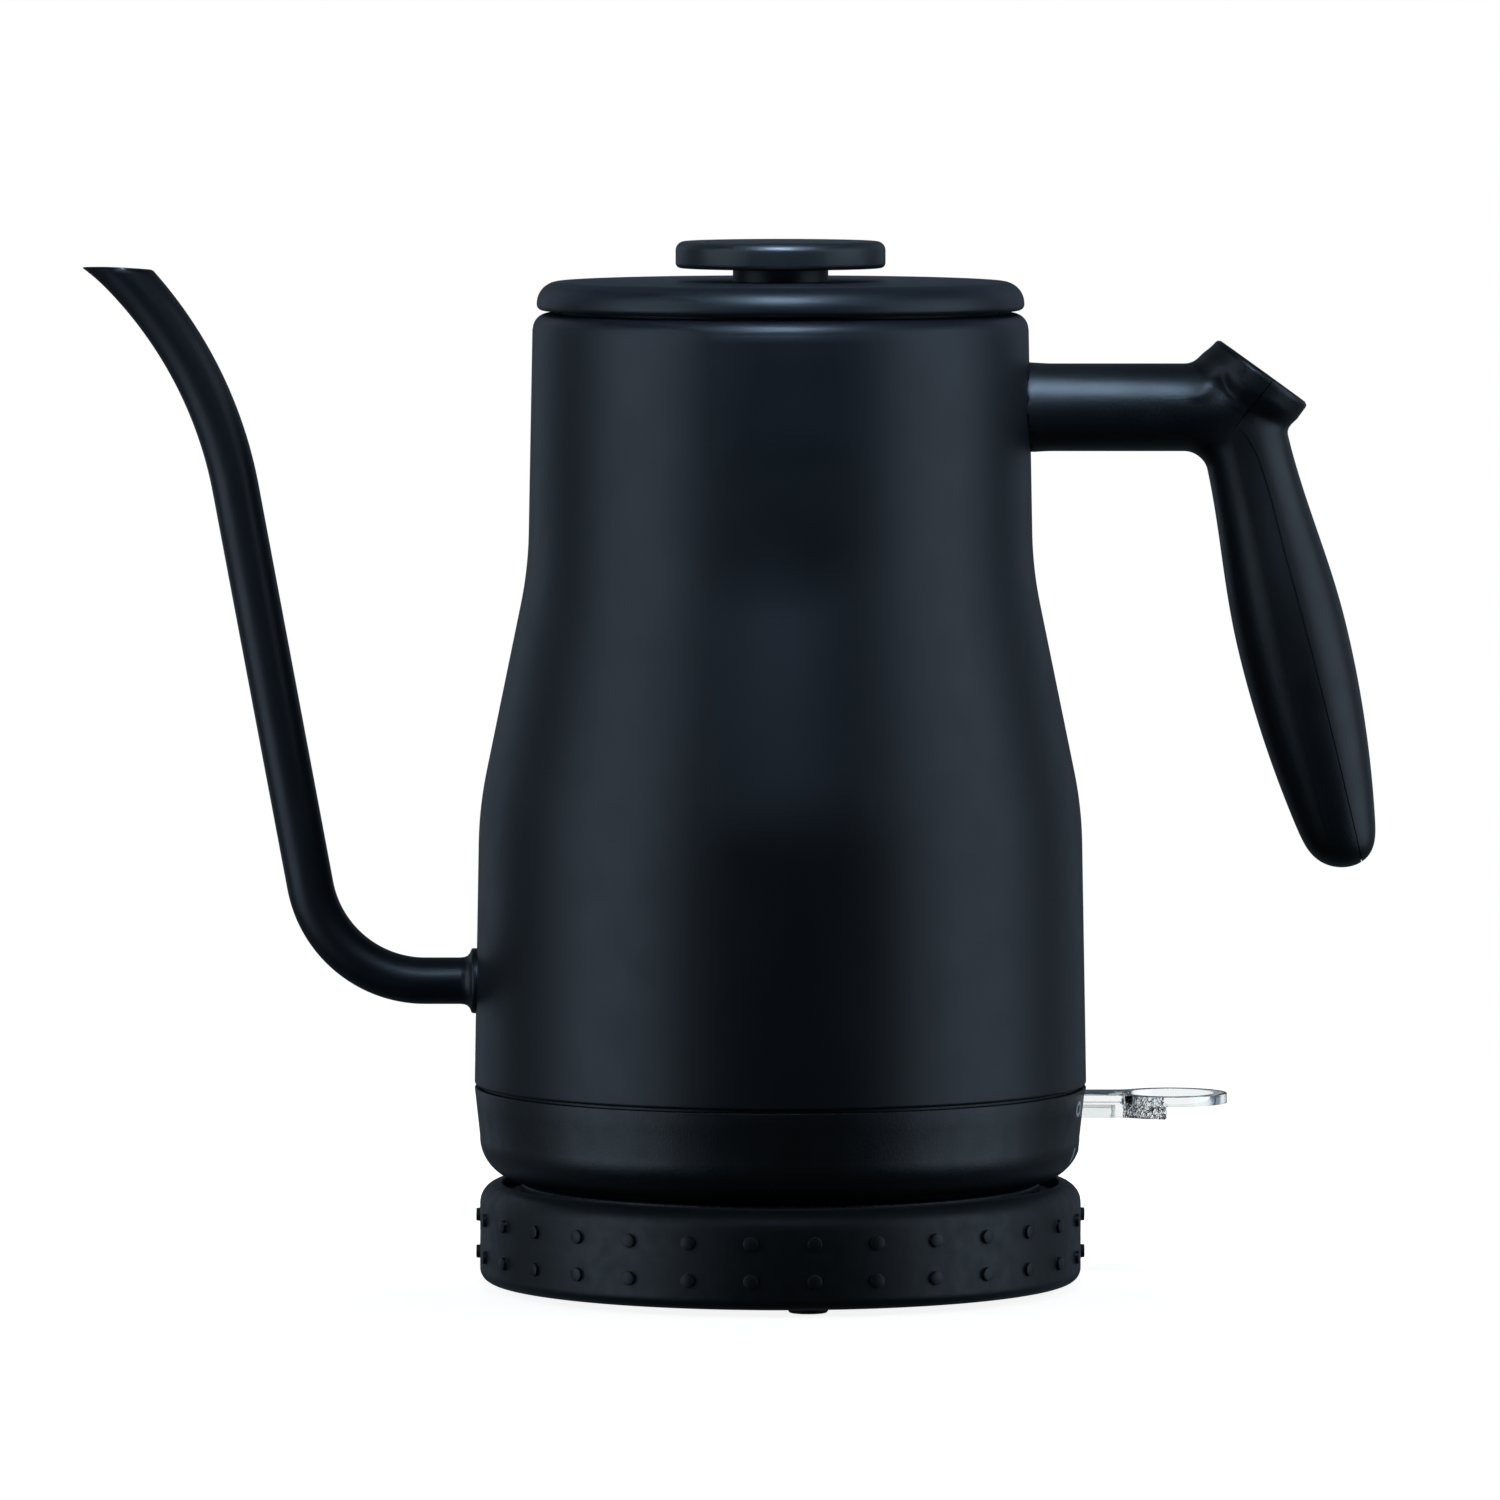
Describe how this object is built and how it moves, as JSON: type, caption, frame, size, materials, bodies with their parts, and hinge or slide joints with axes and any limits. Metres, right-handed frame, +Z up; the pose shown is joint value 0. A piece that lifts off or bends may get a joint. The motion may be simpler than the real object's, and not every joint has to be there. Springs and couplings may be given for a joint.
{
  "type": "electric gooseneck kettle",
  "caption": "Matte black electric gooseneck kettle with a lift-off lid, curved pouring spout, open handle and clear switch lever, on a round swivel power base.",
  "frame": {"origin": "the base's axis on the plane that its feet stand on", "axes": "+Z up, +X from the axis towards the handle and the switch lever, -X towards the spout, +Y to the side that the cord's gland is on"},
  "size_m": [0.2713, 0.1286, 0.22],
  "materials": {
    "painted_steel": "satin black powder coat over steel",
    "bare_steel": "brushed stainless steel",
    "black_plastic": "fine-grained moulded plastic",
    "inner_plastic": "heat-resistant moulded plastic",
    "band_rubber": "matte rubber",
    "foot_rubber": "soft rubber",
    "seal_silicone": "translucent silicone",
    "clear_acrylic": "clear moulded acrylic",
    "contact_brass": "plain brass",
    "spreader_aluminium": "matt aluminium",
    "led_lens": "tinted epoxy lens",
    "mark_white": "printed white ink"
  },
  "bodies": {
    "power_base": {"base_bottom": "black_plastic", "base_shell": "black_plastic", "base_band": "band_rubber", "base_feet": "foot_rubber", "base_screws": "bare_steel", "base_connector": "black_plastic", "connector_contacts": "contact_brass", "terminal_block": "inner_plastic", "cord_gland": "band_rubber"},
    "kettle_socket": {"connector_socket": "black_plastic", "socket_contacts": "contact_brass"},
    "kettle": {"kettle_body": "painted_steel", "vessel_floor": "bare_steel", "spout": "painted_steel", "spout_flange": "painted_steel", "steam_tube": "bare_steel", "heat_spreader": "spreader_aluminium", "heating_element": "bare_steel", "control_unit": "inner_plastic", "bimetal_disc": "bare_steel", "steam_switch": "inner_plastic", "collar": "black_plastic", "collar_seal": "seal_silicone", "bottom_cover": "black_plastic", "cover_screws": "bare_steel", "switch_bracket": "inner_plastic", "bracket_screws": "bare_steel", "switch_axle": "bare_steel", "indicator_led": "led_lens", "handle_bracket": "bare_steel", "handle_front": "black_plastic", "handle_back": "black_plastic", "handle_bolt": "bare_steel"},
    "switch": {"switch_carrier": "black_plastic", "switch_lever": "clear_acrylic"},
    "lid": {"lid_cap": "painted_steel", "lid_plug": "black_plastic", "lid_seal": "seal_silicone", "lid_knob": "black_plastic", "knob_screw": "bare_steel"}
  },
  "joints": [
    {"name": "kettle_lift", "type": "slide", "parent": "power_base", "child": "kettle_socket", "axis": [0, 0, 1], "range_m": [0, 0.08]},
    {"name": "kettle_swivel", "type": "hinge", "parent": "kettle_socket", "child": "kettle", "pos_m": [0, 0, 0], "axis": [0, 0, 1], "continuous": true},
    {"name": "switch_tilt", "type": "hinge", "parent": "kettle", "child": "switch", "pos_m": [0.044, 0, 0.037], "axis": [0, 1, 0], "range_deg": [0, 18]},
    {"name": "lid_lift", "type": "slide", "parent": "kettle", "child": "lid", "axis": [0, 0, 1], "range_m": [0, 0.06]}
  ]
}
